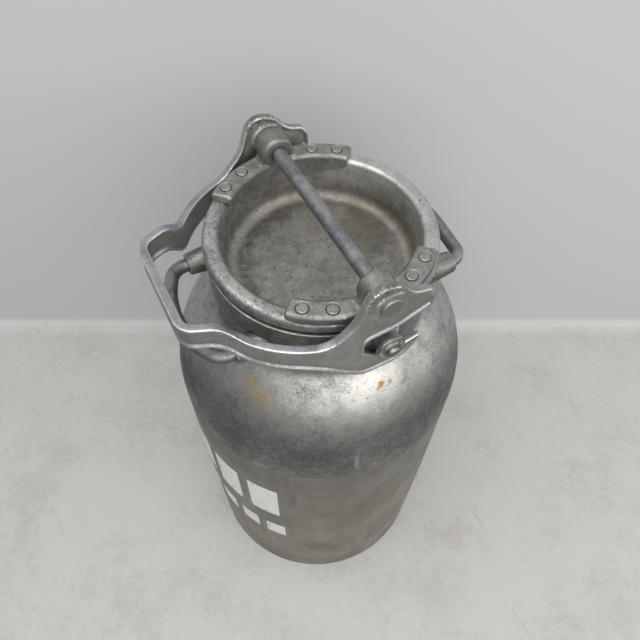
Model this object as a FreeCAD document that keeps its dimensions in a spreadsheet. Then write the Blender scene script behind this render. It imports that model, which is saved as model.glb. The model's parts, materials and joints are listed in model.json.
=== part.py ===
"""Milk can with a lever-locked lid, as a parametric assembly of separate pieces.

Frame: +Z is up and the origin is the centre of the can's base. The lid's cross rod lies
along Y. The lever's grip points towards -X when the can is shut.
"""
import FreeCAD, Part
import math
import os
import re

import Sketcher

DIMENSIONS = [
    ("overrun", 20.0, "how far a cutting shape runs past what it cuts"),
    ("through", 1200.0, "depth of a cut that passes through everything"),
    ("edge_break", 0.5, "small bevels and roundings on edges"),
    ("edge_round", 1.2, "ordinary rounding of edges"),
    # can
    ("body_radius", 132.0, "outside of the can body"),
    ("base_radius", 129.6, "outside of the body at the floor"),
    ("wall", 2.5, "thickness of the drawn shells"),
    ("skirt_lift", 1.5, "floor to the lower edge of the body skirt"),
    ("floor_height", 12.0, "underside of the can's bottom plate"),
    ("bottom_round", 14.0, "corner between bottom plate and wall"),
    ("foot_height", 11.9, "height of the foot ring"),
    ("foot_width", 7.0, "radial width of the foot ring"),
    ("seam_height", 323.6, "lower edge of the upper shell where it laps the body"),
    ("lap_length", 18.0, "how far the two shells overlap"),
    ("lap_gap", 0.3, "air above the lower shell's edge inside the lap"),
    ("lap_skin", 1.25, "thickness left of each shell where they overlap"),
    ("shoulder_start", 333.0, "height where the shoulder begins to curve in"),
    ("shoulder_radius", 118.0, "radius of the shoulder in section"),
    ("neck_radius", 86.5, "outside of the neck"),
    ("neck_round", 18.0, "hollow curve between shoulder and neck"),
    ("neck_top", 459.5, "top edge of the neck, inside the collar"),
    # collar
    ("collar_radius", 89.3, "outside of the collar"),
    ("mouth_radius", 79.5, "inside of the collar, the can's mouth"),
    ("collar_bottom", 457.0, "lower edge of the collar's lip over the neck"),
    ("collar_top", 479.5, "seat for the gasket"),
    ("stud_pad_radius", 13.5, "round pads that carry the studs"),
    ("stud_pad_face", 90.2, "Y of the pads' flat faces"),
    # lid
    ("dish_radius", 75.5, "inside of the lid's dish"),
    ("dish_floor", 456.0, "top of the dish's floor"),
    ("dish_round", 9.0, "corner between the dish's floor and wall"),
    ("rim_radius", 90.2, "outside of the lid's rim"),
    ("rim_underside", 483.5, "underside of the rim"),
    ("rim_crest", 494.5, "top of the rim's bead"),
    ("rim_edge", 487.4, "height of the rim's widest edge"),
    ("rim_lean_in", 2.0, "how far the rim's lower and inner corners draw in"),
    ("rim_bead", 4.7, "rounding of the rim's bead"),
    ("gasket_inset", 2.5, "how far the gasket stays inside the rim"),
    ("gasket_gap", 0.1, "air left between gasket and seat when shut"),
    # saddles on the lid
    ("saddle_span", 89.0, "angle that each saddle covers, degrees"),
    ("saddle_inner", 72.3, "inner face of the saddle's skirt"),
    ("saddle_outer", 89.5, "outer face of the saddle's lip"),
    ("saddle_top", 501.5, "top face of the saddle"),
    ("saddle_foot", 470.0, "height where the two slopes of the skirt's lower edge would meet"),
    ("saddle_foot_end", 491.0, "lower edge of the skirt at the saddle's ends"),
    ("saddle_end_round", 2.6, "rounding of the saddle's ends"),
    ("saddle_corner", 3.4, "rounding of the saddle's top"),
    ("saddle_lip", 493.2, "lower edge of the saddle's outer lip"),
    ("saddle_lip_thick", 1.1, "thickness of that lip"),
    ("rim_fit", 0.1, "air between saddle and rim"),
    ("skirt_bend", 90.0, "curve that joins those slopes under the boss"),
    ("boss_foot_inset", 4.0, "how far the boss's foot stays inside the saddle"),
    ("boss_radius", 13.0, "round boss that holds the rod"),
    ("boss_inner", 71.5, "Y where the boss begins"),
    ("boss_gap", 0.6, "air between boss and cheek"),
    ("boss_flare", 14.0, "width of the hollow curve at each foot of the boss"),
    ("boss_round", 3.0, "rounding of the boss towards the lid's middle"),
    # saddle rivets
    ("rivet_circle", 81.5, "radius on which the saddle rivets sit"),
    ("rivet_near_angle", 22.5, "inner pair of rivets, degrees from the rod"),
    ("rivet_far_angle", 37.0, "outer pair of rivets, degrees from the rod"),
    ("rivet_shank", 2.6, "radius of a rivet's shank"),
    ("rivet_head", 4.4, "radius of a rivet's head"),
    ("rivet_ring", 0.4, "air round the head in its recess"),
    ("rivet_sink", 1.6, "depth of the head's recess"),
    ("rivet_proud", 0.4, "how far the head's dome stands out"),
    # cross rod
    ("rod_height", 510.2, "height of the rod's axis"),
    ("rod_radius", 5.9, "radius of the rod"),
    ("rod_play", 0.05, "radial play of the rod in the saddles"),
    ("rod_head", 8.6, "radius of the rod's riveted head"),
    ("rod_head_thick", 1.8, "thickness of the rod's riveted head"),
    # lever, in plan
    ("cheek_inside", 91.0, "Y of a cheek's inner face"),
    ("lever_thick", 6.6, "thickness of the lever's flanges"),
    ("bend_start", 22.0, "X reach where the arm starts to bend inwards"),
    ("bend_radius", 83.0, "inside radius of the arm around the rim"),
    ("bend_angle", 52.5, "angle of that bend, degrees"),
    ("elbow_radius", 28.0, "radius of the elbow towards the grip"),
    ("elbow_lead", 1.0, "straight bar between the bend and the elbow"),
    ("elbow_angle", 30.5, "angle that the elbow turns back, degrees"),
    ("grip_reach", 123.0, "X reach of the grip's inner face"),
    ("grip_corner", 9.0, "inside radius of the grip's corners"),
    # lever, seen from the side and measured from the rod's axis
    ("grip_top", 11.5, "top of the grip below the rod"),
    ("grip_depth", 21.5, "height of the grip"),
    ("arm_top", 23.5, "top of the arms below the rod"),
    ("arm_depth", 22.5, "height of the arms"),
    ("step_outer", 105.0, "X reach where the arms step up to the grip"),
    ("step_inner", 92.0, "X reach where that step begins"),
    ("step_lag", 3.0, "how much farther out the lower edge steps up"),
    ("step_round", 13.0, "roundings of that step"),
    ("arm_end", 43.0, "X reach where the arm's top turns up to the cheek"),
    ("arm_round", 22.0, "ordinary rounding of the lever's outline"),
    ("hollow_back", 26.0, "X reach of the hollow behind the hump"),
    ("hollow_drop", 7.0, "that hollow below the rod"),
    ("hump_top", 22.0, "top of the cheek above the rod"),
    ("hump_back", 15.5, "back corner of the hump behind the rod"),
    ("hump_back_round", 12.0, "rounding of that corner"),
    ("hump_front", 3.0, "front corner of the hump in front of the rod"),
    ("hump_front_round", 21.0, "rounding of that corner"),
    ("dip_forward", 19.0, "the dip between hump and nose in front of the rod"),
    ("dip_rise", 4.5, "that dip above the rod"),
    ("dip_round", 18.0, "hollow curve of the dip"),
    ("nose_top_forward", 31.0, "top of the nose in front of the rod"),
    ("nose_top_rise", 1.5, "top of the nose above the rod"),
    ("nose_front_drop", 7.0, "where the nose's front starts below the rod"),
    ("nose_round", 8.0, "roundings of the nose"),
    ("nose_reach", 36.8, "reach of the nose in front of the rod"),
    ("nose_drop", 18.2, "lower corner of the nose below the rod"),
    ("slot_roof", 30.5, "roof of the hook's slot below the rod"),
    ("slot_floor", 44.0, "floor of the slot at its closed end"),
    ("slot_back", 17.0, "closed end of the slot behind the rod"),
    ("slot_mouth", 8.0, "where the slot's roof turns up to the nose"),
    ("slot_round", 6.3, "roundings of the slot's closed end"),
    ("cam_forward", 1.0, "lowest point of the cam face in front of the rod"),
    ("cam_round", 15.0, "hollow of the cam face"),
    ("cam_low", 59.2, "lowest point of the cam face under the roller"),
    ("jaw_reach", 33.5, "tip of the jaw in front of the rod"),
    ("jaw_tip", 51.5, "tip of the jaw below the rod"),
    ("jaw_tip_round", 2.0, "rounding of the jaw's tip"),
    ("jaw_bottom", 75.5, "bottom of the jaw below the rod"),
    ("jaw_bend", 20.0, "front corner of the jaw's bottom"),
    ("jaw_heel", 16.0, "back corner of the jaw's bottom"),
    ("belly_end", 52.0, "X reach where the jaw's bottom meets the arm"),
    ("belly_round", 45.0, "hollow curve between them"),
    ("border_width", 2.8, "width of the raised border round the lever"),
    ("border_height", 1.9, "height of the border over the web"),
    ("lever_boss_radius", 13.0, "raised disc round the rod on each cheek"),
    # roller on its stud
    ("roller_forward", 3.0, "X of the stud in front of the rod"),
    ("roller_drop", 46.5, "stud's axis below the rod"),
    ("roller_radius", 10.0, "radius of the roller"),
    ("roller_length", 8.0, "length of the roller"),
    ("roller_gap", 0.2, "end play on each side of the roller"),
    ("stud_radius", 4.0, "radius of the stud"),
    ("stud_play", 0.05, "radial play of the roller on its stud"),
    ("stud_depth", 8.0, "how deep the stud sits in the collar"),
    ("washer_radius", 11.6, "radius of the washer outside the roller"),
    ("washer_thick", 3.4, "thickness of that washer"),
    ("stud_collar_radius", 7.2, "flat ring under the stud's riveted dome"),
    ("stud_collar_thick", 1.5, "thickness of that ring"),
    ("stud_dome_radius", 5.0, "radius of the stud's riveted dome"),
    ("stud_dome_height", 3.5, "height of the stud's riveted dome"),
    # carry handles
    ("handle_height", 453.0, "height of the carry handles"),
    ("handle_spread", 47.0, "Y of the handle's ends"),
    ("handle_bar", 5.5, "radius of the handle's bar"),
    ("handle_bow", 80.0, "radius of the bar's bow on its centre line"),
    ("grip_side_reach", 122.0, "X reach of the handle on the grip's side"),
    ("grip_side_lean", 25.0, "how far that handle's sides lean, degrees"),
    ("grip_side_bend", 15.0, "radius of that handle's corners"),
    ("grip_side_socket", 96.0, "X reach of that handle's sockets"),
    ("nose_side_reach", 109.0, "X reach of the handle on the nose's side"),
    ("nose_side_lean", 5.0, "how far that handle's sides lean, degrees"),
    ("nose_side_bend", 11.0, "radius of that handle's corners"),
    ("nose_side_socket", 94.0, "X reach of that handle's sockets"),
    ("socket_root", 13.0, "radius of a handle socket inside the neck"),
    ("socket_mouth", 8.8, "radius of a handle socket at its mouth"),
    ("socket_depth", 10.0, "how deep the bar sits in its socket"),
]

doc = FreeCAD.newDocument("milk_can")
sheet = doc.addObject("Spreadsheet::Sheet", "Sizes")
for row, (alias, value, meaning) in enumerate(DIMENSIONS, start=1):
    sheet.set(f"A{row}", meaning)
    sheet.set(f"B{row}", str(value))
    sheet.setAlias(f"B{row}", alias)
doc.recompute()

ALIASES = {alias for alias, _, _ in DIMENSIONS}
Y_AXIS = FreeCAD.Vector(0, 1, 0)
Z_AXIS = FreeCAD.Vector(0, 0, 1)
HALF_TURN = FreeCAD.Rotation(Z_AXIS, 180)
FACING_MINUS_Y = FreeCAD.Rotation(FreeCAD.Vector(1, 0, 0), 90)
FACING_PLUS_Y = FreeCAD.Rotation(FreeCAD.Vector(1, 0, 0), -90)
SIDES = {"front": FACING_MINUS_Y, "back": FACING_PLUS_Y}
TINY = 0.001


def formula(text):
    """The same formula with every alias looked up in the sheet."""
    return re.sub(r"[a-z_]+", lambda word: "Sizes." + word[0] if word[0] in ALIASES else word[0], str(text))


def size(text):
    """The present value of a formula."""
    return float(sheet.evalExpression(formula(text)))


def bind(thing, **formulas):
    """Ties properties of an object to formulas of the driving dimensions."""
    for name, text in formulas.items():
        thing.setExpression(name, formula(text))


def new_body(name):
    body = doc.addObject("PartDesign::Body", name)
    body.Label = name
    return body


def new_sketch(body, name, role):
    sketch = body.newObject("Sketcher::SketchObject", name)
    move_sketch(sketch, body, role)
    sketch.MapMode = "FlatFace"
    return sketch


def move_sketch(sketch, body, role):
    """Puts a sketch on another of its body's origin planes."""
    plane = next(item for item in body.Origin.OriginFeatures if item.Role == role)
    sketch.AttachmentSupport = [(plane, "")]


class Rules:
    """Constraints of one sketch, added together; those with a formula stay tied to it."""

    def __init__(self, sketch):
        self.sketch = sketch
        self.entries = []

    def add(self, kind, *where, to=None):
        self.entries.append((kind, where, to))

    def apply(self):
        made = [Sketcher.Constraint(kind, *where, *([] if to is None else [size(to)]))
                for kind, where, to in self.entries]
        first = self.sketch.addConstraint(made)[0]
        for index, (_, _, to) in enumerate(self.entries, start=first):
            if to is not None:
                self.sketch.setExpression(f"Constraints[{index}]", formula(to))


def round_corner(before, corner, after, radius):
    """Tangent points and middle of the arc that rounds a corner."""
    back = (before - corner).normalize()
    ahead = (after - corner).normalize()
    half = back.getAngle(ahead) / 2
    reach = radius / math.tan(half)
    centre = corner + (back + ahead).normalize() * (radius / math.sin(half))
    middle = centre + (corner - centre).normalize() * radius
    return corner + back * reach, middle, corner + ahead * reach


def outline(sketch, corners, closed=True):
    """Straight sides through corners of (x, y) or (x, y, radius), each a formula."""
    points = [FreeCAD.Vector(size(corner[0]), size(corner[1]), 0) for corner in corners]
    count = len(points)
    arcs = {}
    for i, corner in enumerate(corners):
        if len(corner) == 3:
            arcs[i] = round_corner(points[i - 1], points[i], points[(i + 1) % count], size(corner[2]))
    sides = []
    for i in range(count if closed else count - 1):
        j = (i + 1) % count
        first = arcs[i][2] if i in arcs else points[i]
        last = arcs[j][0] if j in arcs else points[j]
        sides.append(sketch.addGeometry(Part.LineSegment(first, last)))
    rules = Rules(sketch)
    for i, corner in enumerate(corners):
        before, after = sides[i - 1], sides[i % len(sides)]
        if i in arcs:
            held, end = rounded(sketch, rules, before, after, arcs[i], corner[2], points[i]), 1
        elif not closed and i == count - 1:
            held, end = before, 2
        else:
            held, end = after, 1
            if closed or i > 0:
                rules.add("Coincident", before, 2, after, 1)
        rules.add("DistanceX", -1, 1, held, end, to=corner[0])
        rules.add("DistanceY", -1, 1, held, end, to=corner[1])
    rules.apply()


def rounded(sketch, rules, before, after, arc_points, radius, tip_point):
    """Tangent arc between two sides; returns the point where they would have met."""
    arc = sketch.addGeometry(Part.Arc(*arc_points))
    flipped = sketch.getPoint(arc, 1).distanceToPoint(arc_points[0]) > TINY
    start, end = (2, 1) if flipped else (1, 2)
    rules.add("Tangent", before, 2, arc, start)
    rules.add("Tangent", arc, end, after, 1)
    rules.add("Radius", arc, to=radius)
    tip = sketch.addGeometry(Part.Point(tip_point), True)
    rules.add("PointOnObject", tip, 1, before)
    rules.add("PointOnObject", tip, 1, after)
    return tip


def circle(sketch, x, y, radius):
    centre = FreeCAD.Vector(size(x), size(y), 0)
    ring = sketch.addGeometry(Part.Circle(centre, Z_AXIS, size(radius)))
    rules = Rules(sketch)
    rules.add("DistanceX", -1, 1, ring, 3, to=x)
    rules.add("DistanceY", -1, 1, ring, 3, to=y)
    rules.add("Radius", ring, to=radius)
    rules.apply()


def turned(name, corners, angle="360"):
    """A body turned about Z from a closed outline of (radius, height) corners."""
    body = new_body(name)
    sketch = new_sketch(body, name + "_outline", "XZ_Plane")
    outline(sketch, corners)
    turn = body.newObject("PartDesign::Revolution", name + "_turn")
    turn.Profile = sketch
    turn.ReferenceAxis = (sketch, ["V_Axis"])
    turn.Midplane = True
    bind(turn, Angle=angle)
    return body


def turned_cut(body, name, corners):
    """Takes a closed outline of (radius, height) corners out of a body, all round Z."""
    sketch = new_sketch(body, name, "XZ_Plane")
    outline(sketch, corners)
    groove = body.newObject("PartDesign::Groove", name + "_groove")
    groove.Profile = sketch
    groove.ReferenceAxis = (sketch, ["V_Axis"])
    groove.Angle = 360
    return groove


def pad(body, sketch, length, both_ways=False):
    block = body.newObject("PartDesign::Pad", sketch.Name + "_pad")
    block.Profile = sketch
    block.Midplane = both_ways
    bind(block, Length=length)
    return block


def pocket_through(body, sketch):
    hole = body.newObject("PartDesign::Pocket", sketch.Name + "_pocket")
    hole.Profile = sketch
    hole.Type = "Length"
    hole.Midplane = True
    bind(hole, Length="through")


def boolean(kind, name, base, tool):
    """Part::Cut, Part::Common or Part::Fuse of two objects."""
    result = doc.addObject("Part::" + kind, name)
    result.Base = base
    result.Tool = tool
    return result


# ---------------------------------------------------------------- can

def lower_shell():
    """Drawn body with its bottom plate; its top edge is thinned to sit under the upper shell."""
    return turned("lower_shell", [
        ("0", "floor_height"),
        ("base_radius - wall", "floor_height"),
        ("base_radius - wall", "skirt_lift"),
        ("base_radius", "skirt_lift"),
        ("body_radius", "seam_height * 0.5"),
        ("body_radius", "seam_height - edge_break"),
        ("body_radius - edge_break", "seam_height"),
        ("body_radius - lap_skin", "seam_height"),
        ("body_radius - lap_skin", "seam_height + lap_length"),
        ("body_radius - wall", "seam_height + lap_length"),
        ("body_radius - wall", "seam_height * 0.5"),
        ("base_radius - wall", "floor_height + wall", "bottom_round"),
        ("0", "floor_height + wall"),
    ])


def foot_ring():
    """Hoop welded inside the skirt; the can stands on it."""
    outside = "base_radius - wall"
    return turned("foot_ring", [
        (outside + " - foot_width", "0"),
        (outside, "0", "edge_round"),
        (outside, "foot_height"),
        (outside + " - foot_width", "foot_height"),
    ])


def shoulder_arcs(offset):
    """Where the shoulder's arc starts and meets the hollow curve, for a skin this far inside."""
    radius = size("shoulder_radius") - offset
    hollow = size("neck_round") + offset
    centre_r = size("body_radius - shoulder_radius")
    centre_z = size("shoulder_start")
    neck = size("neck_radius") - offset
    across = neck + hollow - centre_r
    up = math.sqrt((radius + hollow) ** 2 - across ** 2)
    hollow_centre = FreeCAD.Vector(neck + hollow, centre_z + up, 0)
    centre = FreeCAD.Vector(centre_r, centre_z, 0)
    meet = centre + (hollow_centre - centre).normalize() * radius
    return centre, radius, meet, hollow_centre, hollow


def shoulder_skin(sketch, offset):
    """Body line, shoulder arc, hollow curve and neck line; returns both ends."""
    centre, radius, meet, hollow_centre, hollow = shoulder_arcs(offset)
    body_r = centre.x + radius
    foot = FreeCAD.Vector(body_r, size("seam_height"), 0)
    start = FreeCAD.Vector(body_r, centre.y, 0)
    neck_foot = FreeCAD.Vector(hollow_centre.x - hollow, hollow_centre.y, 0)
    top = FreeCAD.Vector(neck_foot.x, size("neck_top"), 0)
    leaning = math.atan2(meet.y - centre.y, meet.x - centre.x)
    mid = centre + FreeCAD.Vector(math.cos(leaning / 2), math.sin(leaning / 2), 0) * radius
    opened = (leaning + math.pi + math.pi) / 2
    hollow_mid = hollow_centre + FreeCAD.Vector(math.cos(opened), math.sin(opened), 0) * hollow
    wall_line = sketch.addGeometry(Part.LineSegment(foot, start))
    shoulder = sketch.addGeometry(Part.Arc(start, mid, meet))
    curve = sketch.addGeometry(Part.Arc(meet, hollow_mid, neck_foot))
    neck_line = sketch.addGeometry(Part.LineSegment(neck_foot, top))
    shrink = f" - {offset}"
    grow = f" + {offset}"
    rules = Rules(sketch)
    rules.add("Tangent", wall_line, 2, shoulder, 1)
    rules.add("Tangent", shoulder, 2, curve, 2)
    rules.add("Tangent", curve, 1, neck_line, 1)
    rules.add("DistanceX", -1, 1, wall_line, 1, to="body_radius" + shrink)
    rules.add("DistanceY", -1, 1, wall_line, 1, to="seam_height")
    rules.add("Vertical", wall_line)
    rules.add("DistanceY", -1, 1, wall_line, 2, to="shoulder_start")
    rules.add("Radius", shoulder, to="shoulder_radius" + shrink)
    rules.add("Radius", curve, to="neck_round" + grow)
    rules.add("Vertical", neck_line)
    rules.add("DistanceX", -1, 1, neck_line, 2, to="neck_radius" + shrink)
    rules.add("DistanceY", -1, 1, neck_line, 2, to="neck_top")
    rules.apply()
    return wall_line, neck_line


def shoulder_shell():
    """Spun upper shell: lap, shoulder, hollow curve and neck."""
    body = new_body("shoulder_shell")
    sketch = new_sketch(body, "shoulder_outline", "XZ_Plane")
    outer_foot, outer_top = shoulder_skin(sketch, 0)
    inner_foot, inner_top = shoulder_skin(sketch, size("wall"))
    for (first, last), end in (((outer_foot, inner_foot), 1), ((outer_top, inner_top), 2)):
        points = [sketch.getPoint(side, end) for side in (first, last)]
        closing = sketch.addGeometry(Part.LineSegment(*points))
        rules = Rules(sketch)
        rules.add("Coincident", closing, 1, first, end)
        rules.add("Coincident", closing, 2, last, end)
        rules.apply()
    turn = body.newObject("PartDesign::Revolution", "shoulder_turn")
    turn.Profile = sketch
    turn.ReferenceAxis = (sketch, ["V_Axis"])
    turn.Angle = 360
    turned_cut(body, "shoulder_lap", [
        ("body_radius - 2 * wall", "seam_height - overrun"),
        ("body_radius - lap_skin", "seam_height - overrun"),
        ("body_radius - lap_skin", "seam_height + lap_length + lap_gap"),
        ("body_radius - 2 * wall", "seam_height + lap_length + lap_gap"),
    ])
    return body


def collar():
    """Cast mouth ring with two flat pads, one under each cheek of the lever."""
    body = turned("collar", [
        ("mouth_radius", "collar_bottom"),
        ("collar_radius", "collar_bottom", "edge_round"),
        ("collar_radius", "collar_top", "edge_round"),
        ("mouth_radius", "collar_top", "edge_round"),
    ])
    stud_x = "roller_forward"
    stud_z = "rod_height - roller_drop"
    pads = new_sketch(body, "collar_pads", "XZ_Plane")
    circle(pads, stud_x, stud_z, "stud_pad_radius")
    pad(body, pads, "2 * stud_pad_face", both_ways=True)
    turned_cut(body, "collar_bore", [
        ("0", "collar_bottom - overrun"),
        ("neck_radius", "collar_bottom - overrun"),
        ("neck_radius", "neck_top"),
        ("mouth_radius", "neck_top"),
        ("mouth_radius", "collar_top + overrun"),
        ("0", "collar_top + overrun"),
    ])
    holes = doc.addObject("Part::Cylinder", "stud_holes")
    bind(holes, Radius="stud_radius", Height="2 * stud_pad_face + 2 * overrun")
    holes.Placement = FreeCAD.Placement(FreeCAD.Vector(0, 0, 0), FACING_MINUS_Y)
    bind(holes, **{
        "Placement.Base.x": stud_x,
        "Placement.Base.y": "stud_pad_face + overrun",
        "Placement.Base.z": stud_z,
    })
    core = doc.addObject("Part::Cylinder", "stud_holes_core")
    bind(core, Radius="stud_pad_face - stud_depth", Height="collar_top + overrun")
    drilled = boolean("Cut", "stud_hole_pair", holes, core)
    finished = boolean("Cut", "collar_drilled", body, drilled)
    body.Label = "collar_casting"
    finished.Label = "collar"
    return finished


# ---------------------------------------------------------------- lid

def lid_pan():
    """Dish and rolled rim in one piece, with the rivet holes through the rim."""
    plug = "dish_radius + wall"
    body = turned("lid_pan", [
        ("0", "dish_floor - wall"),
        (plug, "dish_floor - wall", "dish_round + wall"),
        (plug, "rim_underside"),
        ("rim_radius - rim_lean_in", "rim_underside", "edge_break"),
        ("rim_radius", "rim_edge", "edge_round"),
        ("rim_radius - edge_round", "rim_crest", "rim_bead"),
        ("dish_radius + rim_lean_in", "rim_crest", "rim_bead"),
        ("dish_radius", "rim_edge - 1", "rim_bead / 2"),
        ("dish_radius", "dish_floor", "dish_round"),
        ("0", "dish_floor"),
    ])
    holes = new_sketch(body, "lid_rivet_holes", "XY_Plane")
    for x, y in rivet_places():
        for sign in ("", "-"):
            circle(holes, f"{sign}({x})", f"{sign}({y})", "rivet_shank")
    pocket_through(body, holes)
    return body


def rivet_places():
    """Centres of one saddle's rivets, as formulas of x and y."""
    places = []
    for angle in ("rivet_near_angle", "rivet_far_angle"):
        for sign in ("", "-"):
            places.append((f"{sign}rivet_circle * sin({angle})", f"rivet_circle * cos({angle})"))
    return places


def lid_gasket():
    """Rubber ring under the rim."""
    return turned("lid_gasket", [
        ("dish_radius + wall", "collar_top + gasket_gap", "edge_round"),
        ("rim_radius - gasket_inset", "collar_top + gasket_gap", "edge_round"),
        ("rim_radius - gasket_inset", "rim_underside"),
        ("dish_radius + wall", "rim_underside"),
    ])


def saddle(name):
    """Cast saddle over the rim: skirt, top, outer lip, and a boss that holds the rod."""
    skirt_back = "dish_radius - rim_fit"
    lip_inside = "saddle_outer - saddle_lip_thick"
    body = turned(name, [
        ("saddle_inner", "saddle_foot", "edge_round"),
        (skirt_back, "saddle_foot"),
        (skirt_back, "rim_crest + rim_fit"),
        (lip_inside, "rim_crest + rim_fit"),
        (lip_inside, "saddle_lip"),
        ("saddle_outer", "saddle_lip"),
        ("saddle_outer", "saddle_top", "saddle_corner"),
        ("saddle_inner", "saddle_top", "saddle_corner"),
    ], angle="saddle_span")
    move_sketch(doc.getObject(name + "_outline"), body, "YZ_Plane")
    trim_skirt(body, name)
    round_ends(body, name)
    saddle_boss(body, name)
    bore = new_sketch(body, name + "_bore", "XZ_Plane")
    circle(bore, "0", "rod_height", "rod_radius + rod_play")
    pocket_through(body, bore)
    drill_saddle(body, name)
    return body


def trim_skirt(body, name):
    """The skirt's lower edge rises from the middle towards both ends."""
    end = "saddle_inner * sin(saddle_span / 2)"
    beyond = f"({end} + overrun)"
    rise = f"saddle_foot + (saddle_foot_end - saddle_foot) * {beyond} / ({end})"
    below = "saddle_foot - overrun"
    sketch = new_sketch(body, name + "_skirt", "XZ_Plane")
    outline(sketch, [
        (f"-{beyond}", below),
        (beyond, below),
        (beyond, rise),
        ("0", "saddle_foot", "skirt_bend"),
        (f"-{beyond}", rise),
    ])
    pocket_through(body, sketch)


def round_ends(body, name):
    """Rounds the saddle's two end faces along their top and along the skirt's inner face."""
    doc.recompute()
    skirt_face = size("saddle_inner") + TINY
    corner_foot = size("saddle_top - saddle_corner")
    sides = []
    for face in body.Shape.Faces:
        across = face.normalAt(0, 0)
        upright = isinstance(face.Surface, Part.Plane) and abs(across.z) < TINY
        if upright and abs(face.CenterOfMass.dot(across)) < TINY:
            sides += face.Edges
    names = []
    for number, edge in enumerate(body.Shape.Edges, start=1):
        middle = edge.CenterOfMass
        wanted = middle.z > corner_foot or math.hypot(middle.x, middle.y) < skirt_face
        if wanted and any(edge.isSame(side) for side in sides):
            names.append(f"Edge{number}")
    ends = body.Tip
    fillet = body.newObject("PartDesign::Fillet", name + "_end_rounds")
    fillet.Base = (ends, names)
    bind(fillet, Radius="saddle_end_round")


def saddle_boss(body, name):
    """Round boss on the rod's axis, and its flared foot."""
    outer = "cheek_inside - boss_gap"
    knob = new_sketch(body, name + "_knob", "YZ_Plane")
    bind(knob, **{"AttachmentOffset.Base.y": "rod_height"})
    outline(knob, [
        ("boss_inner", "0"),
        ("boss_inner", "boss_radius", "boss_round"),
        (outer, "boss_radius", "edge_round"),
        (outer, "0"),
    ])
    turn = body.newObject("PartDesign::Revolution", name + "_knob_turn")
    turn.Profile = knob
    turn.ReferenceAxis = (knob, ["H_Axis"])
    turn.Angle = 360
    foot = new_sketch(body, name + "_foot", "XZ_Plane")
    bind(foot, **{"AttachmentOffset.Base.z": "-(saddle_outer - boss_foot_inset)"})
    reach = "boss_radius + boss_flare"
    low = "saddle_top - boss_foot_inset"
    flare_low = "saddle_top - edge_round"
    flare_round = "boss_flare * 0.55"
    outline(foot, [
        (f"-({reach})", low),
        (reach, low),
        (reach, flare_low),
        ("boss_radius", flare_low, flare_round),
        ("boss_radius", "rod_height"),
        ("-boss_radius", "rod_height"),
        ("-boss_radius", flare_low, flare_round),
        (f"-({reach})", flare_low),
    ])
    pad(body, foot, "saddle_outer - boss_foot_inset - boss_inner - boss_round")


def drill_saddle(body, name):
    """Recess and through hole for each rivet."""
    sinks = new_sketch(body, name + "_sinks", "XY_Plane")
    bind(sinks, **{"AttachmentOffset.Base.z": "saddle_top - rivet_sink"})
    shanks = new_sketch(body, name + "_shanks", "XY_Plane")
    for x, y in rivet_places():
        circle(sinks, x, y, "rivet_head + rivet_ring")
        circle(shanks, x, y, "rivet_shank")
    recess = body.newObject("PartDesign::Pocket", name + "_recess")
    recess.Profile = sinks
    recess.Reversed = True
    bind(recess, Length="overrun")
    pocket_through(body, shanks)


def saddle_rivets(name):
    """The four rivets of one saddle, as separate solids in one node."""
    rivets = []
    for number, (x, y) in enumerate(rivet_places(), start=1):
        head = doc.addObject("Part::Cylinder", f"{name}_head_{number}")
        bind(head, Radius="rivet_head", Height="rivet_sink")
        shank = doc.addObject("Part::Cylinder", f"{name}_shank_{number}")
        bind(shank, Radius="rivet_shank", Height="saddle_top - rivet_sink - rim_underside")
        dome = doc.addObject("Part::Cone", f"{name}_dome_{number}")
        bind(dome, Radius1="rivet_head", Radius2="rivet_head - 2 * rivet_proud", Height="rivet_proud")
        feet = {head: "saddle_top - rivet_sink", shank: "rim_underside", dome: "saddle_top"}
        for piece, foot in feet.items():
            bind(piece, **{"Placement.Base.x": x, "Placement.Base.y": y, "Placement.Base.z": foot})
        rivet = doc.addObject("Part::MultiFuse", f"{name}_{number}")
        rivet.Shapes = [shank, head, dome]
        rivets.append(rivet)
    group = doc.addObject("Part::Compound", name)
    group.Links = rivets
    group.Label = name
    return group


# ---------------------------------------------------------------- lever

def cross_rod():
    """Rod through both saddles, riveted over outside the lever's cheeks."""
    outside = "cheek_inside + lever_thick"
    body = turned("cross_rod", [
        ("0", f"-({outside} + rod_head_thick)"),
        ("rod_head", f"-({outside} + rod_head_thick)", "edge_round"),
        ("rod_head", f"-({outside})"),
        ("rod_radius", f"-({outside})"),
        ("rod_radius", outside),
        ("rod_head", outside),
        ("rod_head", f"{outside} + rod_head_thick", "edge_round"),
        ("0", f"{outside} + rod_head_thick"),
    ])
    body.Placement = FreeCAD.Placement(FreeCAD.Vector(0, 0, 0), FACING_PLUS_Y)
    bind(body, **{"Placement.Base.z": "rod_height"})
    return body


def lever_path(body, name):
    """Open line along the lever's inner faces, seen from above."""
    sketch = new_sketch(body, name, "XY_Plane")
    bend_tip = "(bend_start + bend_radius * tan(bend_angle / 2))"
    bend_end_x = "(bend_start + bend_radius * sin(bend_angle))"
    bend_end_y = "(cheek_inside - bend_radius * (1 - cos(bend_angle)))"
    reach = "(elbow_radius * tan(elbow_angle / 2) + elbow_lead)"
    elbow_x = f"({bend_end_x} + {reach} * cos(bend_angle))"
    elbow_y = f"({bend_end_y} - {reach} * sin(bend_angle))"
    grip_y = f"({elbow_y} - (grip_reach - {elbow_x}) * tan(bend_angle - elbow_angle))"
    front = [
        (f"-{bend_tip}", "-cheek_inside", "bend_radius"),
        (f"-{elbow_x}", f"-{elbow_y}", "elbow_radius"),
        ("-grip_reach", f"-{grip_y}", "grip_corner"),
    ]
    back = [(x, y[1:], radius) for x, y, radius in reversed(front)]
    end = "nose_reach + overrun"
    outline(sketch, [(end, "-cheek_inside"), *front, *back, (end, "cheek_inside")], closed=False)
    return sketch


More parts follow.
